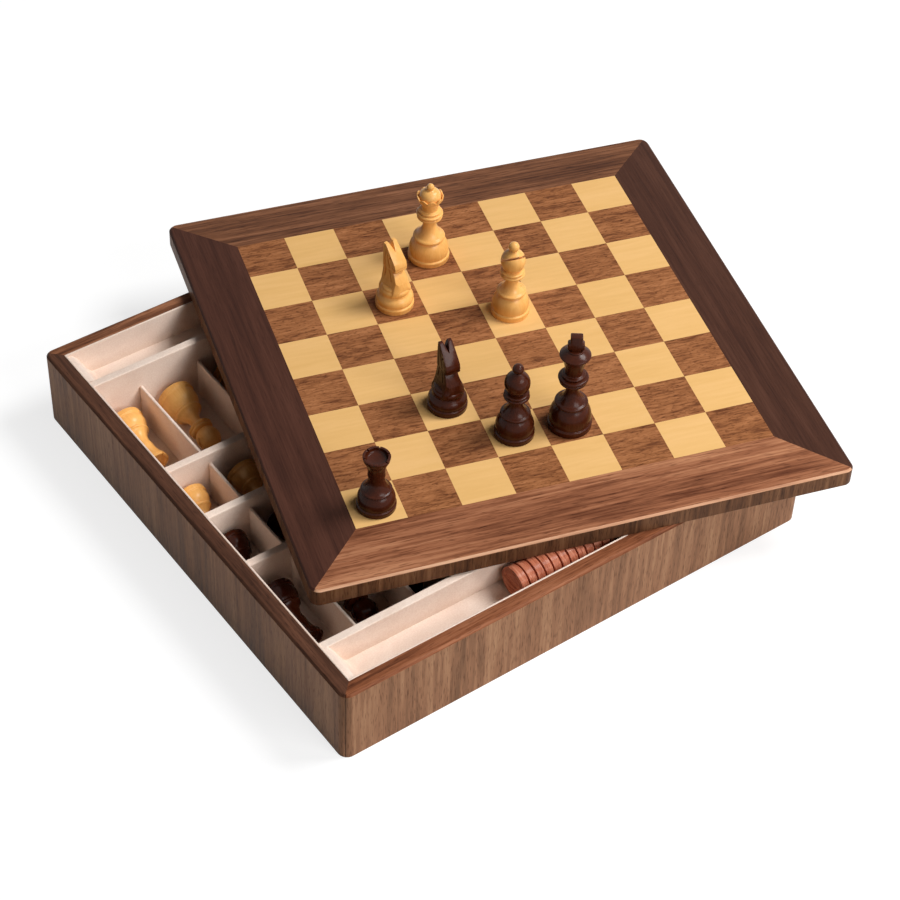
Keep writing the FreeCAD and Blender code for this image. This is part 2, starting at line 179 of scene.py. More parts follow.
def eased(node, finishes, edge, keeps_sharp=None):
    """A copy of a solid's mesh with its long edges rounded over, apart from those that meet
    another piece flush."""
    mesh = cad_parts[node].data.copy()
    mesh.materials.clear()
    for finish in finishes:
        mesh.materials.append(finish)
    shape = bmesh.new()
    shape.from_mesh(mesh)
    bmesh.ops.remove_doubles(shape, verts=shape.verts, dist=weld)
    bmesh.ops.dissolve_limit(shape, angle_limit=flat_angle, verts=shape.verts, edges=shape.edges)
    weight = shape.edges.layers.float.new("bevel_weight_edge")
    for side in shape.edges:
        folded = len(side.link_faces) == 2 and side.calc_face_angle() > fold_angle
        flush = keeps_sharp is not None and keeps_sharp(*[corner.co for corner in side.verts])
        side[weight] = 1.0 if folded and not flush else 0.0
    for face in shape.faces:
        face.smooth = True
        face.material_index = 0
    shape.to_mesh(mesh)
    shape.free()
    piece = bpy.data.objects.new(node + "_shape", mesh)
    scene.collection.objects.link(piece)
    rounding = piece.modifiers.new("rounded edges", "BEVEL")
    rounding.limit_method = "WEIGHT"
    rounding.width = edge
    rounding.segments = 3
    facing = piece.modifiers.new("flat faces", "WEIGHTED_NORMAL")
    facing.mode = "FACE_AREA"
    facing.weight = 60
    return finished_mesh(piece)


def finished_mesh(piece):
    """The plain mesh that a piece's modifiers give; the piece itself is removed."""
    bpy.context.view_layer.update()
    shape = piece.evaluated_get(bpy.context.evaluated_depsgraph_get())
    mesh = bpy.data.meshes.new_from_object(shape, preserve_all_data_layers=True,
                                           depsgraph=bpy.context.evaluated_depsgraph_get())
    bpy.data.objects.remove(piece)
    return mesh


def on_case_mitre(first, second):
    """Whether both ends of an edge lie on the case's diagonals, where two sides are joined."""
    near = 0.0001
    return all(abs(abs(end.x) - abs(end.y)) < near for end in (first, second))


sides = ("front", "right", "back", "left")
wall_veneer = wood("upright walnut veneer", wall_tones, turn=upright, figure=0.016, streak=0.003, run=22,
                   rough=0.46)
for side in sides:
    node = side + "_wall"
    mesh = eased(node, [wall_veneer], wall_edge, on_case_mitre)
    new_piece(node + "_veneered", mesh, "case", [node])

# Base panel: a plain veneered board let in between the walls. It is seen only from below, so
# it is left as it comes, with no polish.
panel_tones = ((112, 80, 58), (150, 112, 82), (176, 138, 104))
panel_veneer = wood("plain walnut panel", panel_tones, rough=0.6, figure=0.03, run=14)
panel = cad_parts["base_panel"]
panel.data.materials.clear()
panel.data.materials.append(panel_veneer)

# Rim strips: solid walnut, long-grained, planed to a slope on the outside and glued on the walls. The
# strips at the sides are painted darker than those at the front and back: painted shade for the light their
# grain sends back less of.
rim_edge = 0.0004
rim_tones_lit_and_shaded = {
    "front": ((98, 55, 35), (137, 82, 54), (162, 105, 74)),
    "back": ((86, 52, 36), (128, 82, 57), (160, 108, 78)),
    "left": ((62, 38, 27), (83, 53, 39), (102, 67, 50)),
}
rim_tones_lit_and_shaded["right"] = rim_tones_lit_and_shaded["left"]
along = {"front": (0, 0, 0), "back": (0, 0, 0), "left": (0, 0, quarter_turn), "right": (0, 0, quarter_turn)}
board_apart, board_side, board_depth = 0.3, 0.2, 0.1
for place, side in enumerate(sides):
    node = side + "_rim_strip"
    board = (board_apart * place, board_side, board_depth)
    strip_wood_lit_and_shaded = wood("walnut rim lit and shaded " + side, rim_tones_lit_and_shaded[side], turn=along[side], at=board, figure=0.007,
                      streak=0.0016, run=24, rough=0.4)
    mesh = eased(node, [strip_wood_lit_and_shaded], rim_edge, on_case_mitre)
    new_piece(node + "_planed", mesh, "case", [node])

# Suede: a cream cloth with a short nap, glued to the inside of the walls and to the floor.
# It shades where the nap was stroked the other way.
suede_tones = ((231, 206, 189), (245, 226, 211))
suede_bloom = (255, 240, 230)
suede_edge = 0.0005
stroked_patch, nap_tuft, fibre_width = 0.03, 0.0011, 0.00035
nap_stops, nap_relief, nap_strength, fibre_rise = (0.35, 0.65), 0.0002, 0.5, 0.6


def suede_cloth(name, tones):
    """Napped cloth, matt, with a faint bloom where it is seen along its surface."""
    finish, tree, shader = new_finish(name)
    place = added(tree, "ShaderNodeTexCoord")["Object"]
    stroked = noise_at(tree, place, (stroked_patch, stroked_patch, stroked_patch), detail=3, distortion=0.6)
    nap = noise_at(tree, place, (nap_tuft, nap_tuft, nap_tuft), detail=3)
    fibre = noise_at(tree, place, (fibre_width, fibre_width, fibre_width))
    shade = blend_of(tree, stroked, nap, 0.5)
    height = math_of(tree, "ADD", nap, math_of(tree, "MULTIPLY", fibre, fibre_rise))
    bump = added(tree, "ShaderNodeBump",
                 {"Strength": nap_strength, "Distance": nap_relief, "Height": height})
    feed(tree, shader, {
        "Base Color": ramp_of(tree, shade, nap_stops, [shown(*tone) for tone in tones]),
        "Normal": bump["Normal"], "Roughness": 0.95, "Specular IOR Level": 0.15,
        "Sheen Weight": 0.1, "Sheen Roughness": 0.6, "Sheen Tint": shown(*suede_bloom),
    })
    return finish


suede = suede_cloth("cream suede", suede_tones)
for node in ["floor_lining"] + [side + "_lining" for side in sides]:
    new_piece(node + "_suede", eased(node, [suede], suede_edge), "case", [node])

# Dividers: thin boards wrapped in the same suede, the long ones set across the case first and
# the short ones slotted in between them.
divider_edge = 0.0009
row_names = ("back_row", "light_pawn_row", "dark_pawn_row", "front_row")
dividers = ["back_trough_divider", "front_trough_divider"]
dividers += [place + "_row_divider" for place in ("back", "middle", "front")]
dividers += [row + "_partitions" for row in row_names]
for node in dividers:
    new_piece(node + "_wrapped", eased(node, [suede], divider_edge), "case", [node])

# Trough beds: shaped blocks under suede that lift the draughts to the rim, with a soft scoop at
# each end for the finger that tips the last one out.
bed_ledge, bed_scoop, bed_steps = 0.002, 0.018, 14
bed_play = 0.0002
bed_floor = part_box("dark_draughts")[0].z - bed_play
crease = math.radians(35)


def prism(section, near, far):
    """A bar with an outline of X and Z for its section, from near to far along Y."""
    shape = bmesh.new()
    ends = [[shape.verts.new((x, y, z)) for x, z in section] for y in (near, far)]
    for end in ends:
        shape.faces.new(end)
    for step in range(len(section)):
        shape.faces.new([ends[0][step - 1], ends[0][step], ends[1][step], ends[1][step - 1]]).smooth = True
    bmesh.ops.recalc_face_normals(shape, faces=shape.faces)
    return shape


for side in ("front", "back"):
    node = side + "_trough_bed"
    low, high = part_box(node)
    right = [(high.x, low.z), (high.x, high.z)]
    for step in range(bed_steps + 1):
        fall = (1 - math.cos(math.pi * step / bed_steps)) / 2
        inwards = bed_ledge + bed_scoop * step / bed_steps
        right.append((high.x - inwards, high.z + (bed_floor - high.z) * fall))
    shape = prism(right + [(-x, z) for x, z in reversed(right)], low.y, high.y)
    mesh = bpy.data.meshes.new(node)
    shape.to_mesh(mesh)
    shape.free()
    mesh.set_sharp_from_angle(angle=crease)
    mesh.materials.append(suede)
    new_piece(node + "_wrapped", mesh, "case", [node])

# Draughts: small turned discs with a dished face on both sides, twelve to a trough, stood on
# edge in the middle. The lathe below also turns the chessmen.
draught_low, draught_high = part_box("dark_draughts")
draught_radius = (draught_high.z - draught_low.z) / 2
draughts_per_side = 12
draught_gap = 0.0002
draught_pitch = (draught_high.x - draught_low.x + draught_gap) / draughts_per_side
draught_thickness = draught_pitch - draught_gap
draught_shares = [
    (0, 0.1, 0), (0.3, 0.1, 0), (0.34, 0.06, 0), (0.6, 0.06, 0), (0.66, 0, 0), (0.8, 0, 0),
    (0.86, 0.06, 0), (0.97, 0.07, 0), (1, 0.11, 0.15), (1, 0.89, 0), (0.97, 0.93, 0.15), (0.86, 0.94, 0),
    (0.8, 1, 0), (0.66, 1, 0), (0.6, 0.94, 0), (0.34, 0.94, 0), (0.3, 0.9, 0), (0, 0.9, 0),
]
dark_draught_tones = ((150, 78, 53), (184, 108, 80), (206, 136, 106))
light_draught_tones = ((196, 146, 88), (222, 176, 116), (236, 198, 142))
discs_apart = (4, 1, 1)
soft_corner, corner_ease, ease_share = math.radians(20), 0.0003, 0.4


def arc_through(start, middle, end, steps):
    """Points on the circle through three points, after start and up to end."""
    a, b = middle - start, end - start
    cross = 2 * (a.x * b.y - a.y * b.x)
    reach = Vector(((b.y * a.length_squared - a.y * b.length_squared) / cross,
                    (a.x * b.length_squared - b.x * a.length_squared) / cross))
    centre = start + reach
    first = math.atan2(start.y - centre.y, start.x - centre.x)
    swing = math.atan2(end.y - centre.y, end.x - centre.x) - first
    if cross > 0 and swing < 0:
        swing += 2 * math.pi
    if cross < 0 and swing > 0:
        swing -= 2 * math.pi
    angles = [first + swing * (step + 1) / steps for step in range(steps)]
    return [centre + reach.length * Vector((math.cos(angle), math.sin(angle))) for angle in angles]


def turned_profile(shares, radius, height, steps):
    """Radius and height along a table of shares. The third share of a row is how far the
    stretch up to it stands out; one that ends on the axis is part of a ball."""
    corners = [Vector((row[0] * radius, row[1] * height)) for row in shares]
    line = corners[:1]
    for start, end, row in zip(corners, corners[1:], shares[1:]):
        bulge = row[2]
        if bulge and end.x == 0:
            rise = end.y - start.y
            ball = (rise ** 2 + start.x ** 2) / (2 * rise)
            line += arc_through(start, Vector((ball, end.y - ball)), end, 2 * steps)
        elif bulge:
            run = end - start
            middle = (start + end) / 2 + Vector((run.y, -run.x)) * bulge
            line += arc_through(start, middle, end, steps)
        else:
            line.append(end)
    soft = line[:1]
    for before, here, after in zip(line, line[1:], line[2:]):
        back, on = before - here, after - here
        if (-back).angle(on, 0) > soft_corner:
            enter = here + back.normalized() * min(corner_ease, back.length * ease_share)
            leave = here + on.normalized() * min(corner_ease, on.length * ease_share)
            soft += [enter, (enter + leave) / 4 + here / 2, leave]
        else:
            soft.append(here)
    return soft + line[-1:]


def tree_of(name, takes, gives):
    """A tree of geometry nodes, the sockets that it takes and the one for the mesh that it gives."""
    tree = bpy.data.node_groups.new(name, "GeometryNodeTree")
    for label, kind in takes.items():
        tree.interface.new_socket(label, in_out="INPUT", socket_type="NodeSocket" + kind)
    tree.interface.new_socket(gives, in_out="OUTPUT", socket_type="NodeSocketGeometry")
    return tree, tree.nodes.new("NodeGroupInput").outputs, tree.nodes.new("NodeGroupOutput").inputs[0]


def turning_tree():
    """Geometry nodes that swing a row of points, the profile, round the Z axis."""
    tree, given, made = tree_of("Turned on a lathe",
                                {"Profile": "Geometry", "Sides": "Int", "Wood": "Material"}, "Turned")
    count = added(tree, "GeometryNodeAttributeDomainSize", {"Geometry": given["Profile"]})
    around = math_of(tree, "ADD", given["Sides"], 1)
    grid = added(tree, "GeometryNodeMeshGrid", {"Vertices X": count["Point Count"], "Vertices Y": around})
    index = added(tree, "GeometryNodeInputIndex")[0]
    ring = math_of(tree, "FLOOR", math_of(tree, "DIVIDE", index, around), 0)
    step = math_of(tree, "MODULO", index, around)
    position = added(tree, "GeometryNodeInputPosition")[0]
    point = added(tree, "GeometryNodeSampleIndex",
                  {"Geometry": given["Profile"], "Value": position, "Index": ring},
                  data_type="FLOAT_VECTOR")
    turn = math_of(tree, "DIVIDE", math_of(tree, "MULTIPLY", step, 2 * math.pi), given["Sides"])
    swung = added(tree, "ShaderNodeVectorRotate", {"Vector": point[0], "Angle": turn},
                  rotation_type="Z_AXIS")
    put = added(tree, "GeometryNodeSetPosition", {"Geometry": grid["Mesh"], "Position": swung[0]})
    seam = added(tree, "GeometryNodeMergeByDistance", {"Geometry": put[0], "Distance": weld})
    smooth = added(tree, "GeometryNodeSetShadeSmooth", {"Geometry": seam[0]})
    whole = added(tree, "GeometryNodeRealizeInstances", {0: smooth[0]})
    coat = added(tree, "GeometryNodeSetMaterial", {"Geometry": whole[0], "Material": given["Wood"]})
    tree.links.new(coat[0], made)
    return tree


def made_by(tree, mesh, inputs):
    """The plain mesh that a tree of geometry nodes makes out of a mesh, with its named inputs."""
    piece = bpy.data.objects.new(tree.name, mesh)
    scene.collection.objects.link(piece)
    maker = piece.modifiers.new(tree.name, "NODES")
    maker.node_group = tree
    for item in tree.interface.items_tree:
        if item.item_type == "SOCKET" and item.in_out == "INPUT" and item.name in inputs:
            maker[item.identifier] = inputs[item.name]
    return finished_mesh(piece)


def facing_out(mesh):
    """Merge what coincides and turn every face outwards."""
    shape = bmesh.new()
    shape.from_mesh(mesh)
    bmesh.ops.remove_doubles(shape, verts=shape.verts, dist=weld)
    bmesh.ops.recalc_face_normals(shape, faces=shape.faces)
    shape.to_mesh(mesh)
    shape.free()
    return mesh


lathe = turning_tree()


def turned(shares, radius, height, finish, sides=72, steps=9):
    """A man or a disc turned to a table of shares, with so many steps to an arc."""
    points = turned_profile(shares, radius, height, steps)
    profile = bpy.data.meshes.new("profile")
    profile.from_pydata([(point.x, 0, point.y) for point in points], [], [])
    return facing_out(made_by(lathe, profile, {"Sides": sides, "Wood": finish}))


def stacking_tree():
    """Geometry nodes that set copies of a disc side by side along X, each spun by chance."""
    tree, given, made = tree_of("Stack on edge", {
        "Disc": "Geometry", "Count": "Int", "Pitch": "Float", "Seed": "Int", "Wood": "Material",
    }, "Stack")
    offset = added(tree, "ShaderNodeCombineXYZ", {"X": given["Pitch"]})
    line = added(tree, "GeometryNodeMeshLine", {"Count": given["Count"], "Offset": offset[0]})
    most, angle = 3, 1
    spin = added(tree, "FunctionNodeRandomValue", {most: 2 * math.pi, "Seed": given["Seed"]},
                 data_type="FLOAT")
    about = added(tree, "ShaderNodeCombineXYZ", {"X": spin[angle]})
    discs = added(tree, "GeometryNodeInstanceOnPoints",
                  {"Points": line[0], "Instance": given["Disc"], "Rotation": about[0]})
    whole = added(tree, "GeometryNodeRealizeInstances", {0: discs[0]})
    position = added(tree, "GeometryNodeInputPosition")[0]
    apart = added(tree, "ShaderNodeVectorMath", {0: position, 1: discs_apart}, operation="MULTIPLY")
    own = added(tree, "GeometryNodeStoreNamedAttribute",
                {"Geometry": whole[0], "Name": "own_place", "Value": apart[0]},
                data_type="FLOAT_VECTOR", domain="POINT")
    coat = added(tree, "GeometryNodeSetMaterial", {"Geometry": own[0], "Material": given["Wood"]})
    tree.links.new(coat[0], made)
    return tree


stacker = stacking_tree()
across_disc = (0, 0, quarter_turn)
for colour, tones, seed in (("dark", dark_draught_tones, 3), ("light", light_draught_tones, 8)):
    node = colour + "_draughts"
    low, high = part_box(node)
    draught_wood = wood(colour + " draught wood", tones, turn=across_disc, own="own_place", figure=0.009,
                        streak=0.0016, run=9, rough=0.38, coat=0.1)
    disc = turned(draught_shares, draught_radius, draught_thickness, draught_wood, sides=64, steps=5)
    disc.transform(Matrix.Rotation(quarter_turn, 4, "Y"))
    stack = made_by(stacker, disc, {"Count": draughts_per_side, "Pitch": draught_pitch, "Seed": seed,
                                    "Wood": draught_wood})
    stack.transform(Matrix.Translation((low.x, (low.y + high.y) / 2, (low.z + high.z) / 2)))
    new_piece(node + "_turned", stack, "case", [node])

# Lid core: a flat board with a raised middle, its edges veneered with the same upright grain
# as the case. It lies turned and pushed aside on the rim.
lid_turn = math.radians(-17.03)
lid_low, lid_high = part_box("lid_core")
lid_middle = Vector(((lid_low.x + lid_high.x) / 2, (lid_low.y + lid_high.y) / 2, 0))
lid_place = Matrix.Translation(lid_middle) @ Matrix.Rotation(lid_turn, 4, "Z")
to_lid = lid_place.inverted()
# Painted shade: the lid's edge veneer gets darker tones than the case's, for the shade that falls on the
# edge.
shaded_core_tones = ((76, 50, 35), (106, 71, 48), (132, 93, 65))
level_from = 0.9
shaded_core_veneer = wood("shaded upright lid veneer", shaded_core_tones, turn=upright, figure=0.012, streak=0.0024, run=20,
                   rough=0.45)
core_mesh = eased("lid_core", [shaded_core_veneer, panel_veneer], wall_edge)
for face in core_mesh.polygons:
    face.material_index = 1 if abs(face.normal.z) > level_from else 0
new_piece("lid_core_veneered", core_mesh, "lid", ["lid_core"])

# Lid border: four walnut strips, mitred at the corners and sloping down from the field, with
# a narrow planed arris along the edge. The grain follows each strip.
border_edge = 0.0003
# Painted shade: the side strips get darker tones than the front and back ones, for the light their grain
# sends back less of.
border_tones_lit_and_shaded = {
    "front": ((100, 56, 36), (150, 95, 66), (184, 127, 92)),
    "back": ((78, 46, 31), (118, 76, 52), (146, 98, 70)),
    "left": ((62, 36, 28), (75, 45, 35), (86, 53, 42)),
    "right": ((59, 34, 25), (70, 42, 31), (80, 50, 38)),
}
square = 0.038
border_lap = 0.0022
field_half = 4 * square - border_lap
strips_apart = (0.37, 0.11)
# Painted highlight: the sloping arris of the front and back strips is given paler wood, where the bevel
# catches the light.
arris_highlight_tones = ((168, 116, 86), (204, 152, 118), (224, 178, 144))
arris_highlight_slopes = (0.4, 0.95)


def on_lid_mitre(first, second):
    """Whether an edge of the border lies on a mitre, against the field or on the core."""
    near = 0.0002
    ends = [to_lid @ end for end in (first, second)]
    mitre = all(abs(abs(end.x) - abs(end.y)) < near for end in ends)
    field = all(max(abs(end.x), abs(end.y)) < field_half + near for end in ends)
    return mitre or field


def painted_arris_highlight(mesh, finish):
    """Give the sloping arris of a strip a paler finish of its own: a painted highlight where the bevel
    catches the light.
    """
    mesh.materials.append(finish)
    for face in mesh.polygons:
        if arris_highlight_slopes[0] < abs(face.normal.z) < arris_highlight_slopes[1]:
            face.material_index = 1


for place, side in enumerate(sides):
    node = side + "_border_strip"
    turn = (0, 0, along[side][2] - lid_turn)
    board = (strips_apart[0] * place, strips_apart[1] * place, 0)
    strip_wood_lit_and_shaded = wood("walnut border lit and shaded " + side, border_tones_lit_and_shaded[side], turn=turn, at=board, figure=0.011,
                      streak=0.0019, pore=0.0008, run=24,
                      pore_depth=0.5 if side in ("front", "back") else 0.2)
    mesh = eased(node, [strip_wood_lit_and_shaded], border_edge, on_lid_mitre)
    if side in ("front", "back"):
        painted_arris_highlight(mesh, wood("border arris " + side, arris_highlight_tones, turn=turn, run=30, pore_depth=0.2))
    new_piece(node + "_planed", mesh, "lid", [node])

# Squares: veneer tiles laid in turn, pale and walnut, all with the grain across the board.
# Each is cut from another place of its sheet.
tile_low, tile_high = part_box("light_squares")
tile_thickness = tile_high.z - tile_low.z
tile_joint = 0.00006
squares_per_side = 8
light_square_tones = ((230, 182, 114), (234, 186, 119), (238, 190, 125))
dark_square_tones = ((104, 60, 36), (152, 97, 60), (176, 117, 76))
sheet_spread, sheet_seed = (3, 3, 3), 11


def inlay_tree():
    """Geometry nodes that lay every second tile of a board and trim the outer ones."""
    tree, given, made = tree_of("Inlaid squares", {
        "Start": "Geometry", "Square": "Float", "Joint": "Float", "Thickness": "Float",
        "Field half": "Float", "Count": "Int", "Odd": "Int", "Seed": "Int", "Veneer": "Material",
    }, "Squares")
    count, half, thickness = given["Count"], given["Field half"], given["Thickness"]
    reach = math_of(tree, "MULTIPLY", given["Square"], math_of(tree, "SUBTRACT", count, 1))
    grid = added(tree, "GeometryNodeMeshGrid",
                 {"Size X": reach, "Size Y": reach, "Vertices X": count, "Vertices Y": count})
    index = added(tree, "GeometryNodeInputIndex")[0]
    column = math_of(tree, "FLOOR", math_of(tree, "DIVIDE", index, count), 0)
    row = math_of(tree, "MODULO", index, count)
    parity = math_of(tree, "MODULO", math_of(tree, "ADD", column, row), 2)
    chosen = math_of(tree, "COMPARE", parity, given["Odd"])
    side = math_of(tree, "SUBTRACT", given["Square"], given["Joint"])
    size = added(tree, "ShaderNodeCombineXYZ", {"X": side, "Y": side, "Z": thickness})
    tile = added(tree, "GeometryNodeMeshCube", {"Size": size[0]})
    laid = added(tree, "GeometryNodeInstanceOnPoints",
                 {"Points": grid["Mesh"], "Selection": chosen, "Instance": tile["Mesh"]})
    most = 1
    chance = added(tree, "FunctionNodeRandomValue", {most: sheet_spread, "Seed": given["Seed"]},
                   data_type="FLOAT_VECTOR")
    sheet = added(tree, "GeometryNodeStoreNamedAttribute",
                  {"Geometry": laid[0], "Name": "own_place", "Value": chance[0]},
                  data_type="FLOAT_VECTOR", domain="INSTANCE")
    whole = added(tree, "GeometryNodeRealizeInstances", {0: sheet[0]})
    position = added(tree, "GeometryNodeInputPosition")[0]
    edge = added(tree, "ShaderNodeCombineXYZ", {"X": half, "Y": half, "Z": thickness})
    other = added(tree, "ShaderNodeVectorMath", {0: edge[0], "Scale": -1}, operation="SCALE")
    below = added(tree, "ShaderNodeVectorMath", {0: position, 1: edge[0]}, operation="MINIMUM")
    trimmed = added(tree, "ShaderNodeVectorMath", {0: below[0], 1: other[0]}, operation="MAXIMUM")
    put = added(tree, "GeometryNodeSetPosition", {"Geometry": whole[0], "Position": trimmed[0]})
    kept = added(tree, "GeometryNodeInputNamedAttribute", {"Name": "own_place"}, data_type="FLOAT_VECTOR")
    cut = added(tree, "ShaderNodeVectorMath", {0: kept[0], 1: position}, operation="ADD")
    own = added(tree, "GeometryNodeStoreNamedAttribute",
                {"Geometry": put[0], "Name": "own_place", "Value": cut[0]},
                data_type="FLOAT_VECTOR", domain="POINT")
    coat = added(tree, "GeometryNodeSetMaterial", {"Geometry": own[0], "Material": given["Veneer"]})
    tree.links.new(coat[0], made)
    return tree


inlay = inlay_tree()
light_veneer = wood("pale square veneer", light_square_tones, own="own_place", figure=0.02, streak=0.003,
                    pore=0.0005, run=10, pore_depth=0.04, rough=0.42)
dark_veneer = wood("walnut square veneer", dark_square_tones, own="own_place", figure=0.008, streak=0.0016,
                   pore=0.0009, run=7, pore_depth=0.55, streak_share=0.6, rough=0.44)
for odd, name, veneer in ((0, "light", light_veneer), (1, "dark", dark_veneer)):
    node = name + "_squares"
    start = bpy.data.meshes.new("start")
    tiles = made_by(inlay, start, {
        "Square": square, "Joint": tile_joint, "Thickness": tile_thickness, "Field half": field_half,
        "Count": squares_per_side, "Odd": odd, "Seed": sheet_seed + odd, "Veneer": veneer,
    })
    height = Matrix.Translation((0, 0, (tile_low.z + tile_high.z) / 2))
    tiles.transform(lid_place @ height)
    new_piece(node + "_inlaid", tiles, "lid", [node])

# Chessmen: turned and carved from close-grained wood, one half of the set pale, the other
# stained dark, all lacquered to a gloss. Each man keeps the grain of its own blank.
light_man_tones = ((233, 171, 92), (239, 178, 99), (244, 186, 109))
dark_man_tones = ((59, 22, 8), (65, 25, 9), (71, 29, 11))
man_woods = {
    "light": wood("pale man wood", light_man_tones, turn=upright, own="own_place", figure=0.007,
                  streak=0.0012, pore=0.0004, run=16, pore_depth=0.05, rough=0.3, coat=0.06, gloss=0.2,
                  relief=0.00001),
    "dark": wood("dark man wood", dark_man_tones, turn=upright, own="own_place", figure=0.006,
                 streak=0.0012, pore=0.0005, run=16, pore_depth=0.06, rough=0.26, coat=0.08, gloss=0.1,
                 relief=0.00001),
}
half_turn = math.radians(180)
blank_spread, roll_spread = 0.5, 0.15
balance_share = 0.36
blanks = random.Random(21)
columns = 8
column_divider = 0.0024
end_cell_share = 0.81
inner_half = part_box("floor_lining")[1].x
cell = (2 * inner_half - (columns - 1) * column_divider) / (columns - 2 + 2 * end_cell_share)
inset = (1 - end_cell_share) * cell / 2
column_middles = [(column - columns / 2 + 0.5) * (cell + column_divider) for column in range(columns)]
column_middles[0] += inset
column_middles[-1] -= inset


def from_blank(mesh, colour, move):
    """A man of one colour, moved into place, with its place in its blank kept on its points."""
    man = mesh.copy()
    man.materials.clear()
    man.materials.append(man_woods[colour])
    offset = Vector([blanks.uniform(0, blank_spread) for axis in "XYZ"])
    own = man.attributes.new("own_place", "FLOAT_VECTOR", "POINT")
    for value, point in zip(own.data, man.vertices):
        value.vector = point.co + offset
    man.transform(move)
    return man


def joined(meshes):
    """Several meshes of one material as one."""
    shape = bmesh.new()
    for mesh in meshes:
        shape.from_mesh(mesh)
    whole = meshes[0].copy()
    shape.to_mesh(whole)
    shape.free()
    return whole


def stand(mesh, node, further=0):
    """Set a man on the board where its solid stands, turned from the lid's front by further."""
    colour = node.split("_")[0]
    low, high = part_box(node)
    foot = Matrix.Translation(((low.x + high.x) / 2, (low.y + high.y) / 2, low.z))
    man = from_blank(mesh, colour, foot @ Matrix.Rotation(lid_turn + further, 4, "Z"))
    new_piece(node + "_turned", man, node, [node])


def resting_tilt(mesh):
    """How far a lying man's axis dips from its foot to its head."""
    balance = balance_share * max(point.co.z for point in mesh.vertices)
    rim = {}
    for point in mesh.vertices:
        level = round(point.co.z, 5)
        rim[level] = max(rim.get(level, 0), abs(point.co.x))
    below = [(z, r) for z, r in rim.items() if z <= balance]
    above = [(z, r) for z, r in rim.items() if z > balance]
    props = []
    for z0, r0 in below:
        for z1, r1 in above:
            lean = (r1 - r0) / (z1 - z0)
            props.append((r0 + lean * (balance - z0), lean))
    return -math.atan(max(props)[1])


def lay(mesh, node, body, taken, spin=0):
    """Lay men of one kind in their cells, foot to the back, so that foot and collar touch the floor."""
    colour = "light" if "light" in node else "dark"
    low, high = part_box(node)
    men = []
    for column in taken:
        roll = Matrix.Rotation(spin + blanks.uniform(-roll_spread, roll_spread), 4, "Z")
        tip = Matrix.Rotation(quarter_turn + resting_tilt(mesh), 4, "X")
        man = from_blank(mesh, colour, tip @ roll)
        spots = [point.co for point in man.vertices]
        end = high.y - max(spot.y for spot in spots)
        drop = low.z - min(spot.z for spot in spots)
        man.transform(Matrix.Translation((column_middles[column], end, drop)))
        men.append(man)
    new_piece(node + "_turned", joined(men), body, [node])


# Pawns: a wide foot, a short stem with a collar and a ball for a head, each turned in one piece.
# All sixteen lie in the two middle rows of cells.
pawn_foot, pawn_height = 0.0246, 0.043
pawn_shares = [
    (0, 0, 0), (0.97, 0, 0), (1, 0.015, 0.1), (1, 0.06, 0), (0.955, 0.095, 0.2), (0.93, 0.103, 0),
    (0.675, 0.315, 0.14), (0.705, 0.32, 0), (0.705, 0.36, 0.35), (0.63, 0.366, 0), (0.36, 0.6, -0.13),
    (0.56, 0.612, 0), (0.56, 0.662, 0.4), (0.33, 0.67, 0), (0, 1, 1),
]
pawn = turned(pawn_shares, pawn_foot / 2, pawn_height, man_woods["light"], sides=56, steps=7)
lay(pawn, "stored_left_light_pawn", "stored_left_light_pawn", (0,))
lay(pawn, "stored_light_pawns", "case", range(1, columns))
lay(pawn, "stored_left_dark_pawn", "stored_left_dark_pawn", (0,))
lay(pawn, "stored_dark_pawns", "case", range(1, columns))

# Rooks: a stem that flares into a hollow cup, turned in one piece, with narrow slots sawn
# through the cup's wall.
rook_foot, rook_height = 0.027, 0.046
battlement_slot, battlement_depth, battlement_slots = 0.0009, 0.0012, 3
rook_shares = [
    (0, 0, 0), (0.97, 0, 0), (1, 0.015, 0.1), (1, 0.06, 0), (0.955, 0.095, 0.2), (0.93, 0.103, 0),
    (0.72, 0.32, 0.14), (0.745, 0.326, 0), (0.745, 0.366, 0.35), (0.69, 0.372, 0), (0.45, 0.64, -0.13),
    (0.66, 0.93, -0.08), (0.69, 0.985, 0), (0.672, 1, 0.2), (0.58, 1, 0), (0.56, 0.99, 0.2),
    (0.46, 0.93, -0.1), (0, 0.9, 0),
]
saw_crease = math.radians(40)


def bar(size, place):
    """A plain box of a size, put in place."""
    shape = bmesh.new()
    bmesh.ops.create_cube(shape, size=1, matrix=place @ Matrix.Diagonal((*size, 1)))
    return shape


def piece_of(shape):
    """A piece in the scene out of a shape in the making, which is used up."""
    mesh = bpy.data.meshes.new("blank")
    shape.to_mesh(mesh)
    shape.free()
    piece = bpy.data.objects.new("blank", mesh)
    scene.collection.objects.link(piece)
    return piece


def carve(man, cuts):
    """Cut a man by shapes in turn. The tools come back, to be put away once it is finished."""
    tools = []
    for operation, shape in cuts:
        tools.append(piece_of(shape))
        cut = man.modifiers.new("carving", "BOOLEAN")
        cut.operation = operation
        cut.solver = "EXACT"
        cut.object = tools[-1]
    return tools


def put_away(tools):
    """Take the tools of a carving out of the scene."""
    for tool in tools:
        bpy.data.objects.remove(tool)


def sawn(mesh, bars):
    """A man with bars sawn out of it."""
    man = bpy.data.objects.new("blank", mesh)
    scene.collection.objects.link(man)
    tools = carve(man, [("DIFFERENCE", shape) for shape in bars])
    result = finished_mesh(man)
    put_away(tools)
    result.set_sharp_from_angle(angle=saw_crease)
    return result


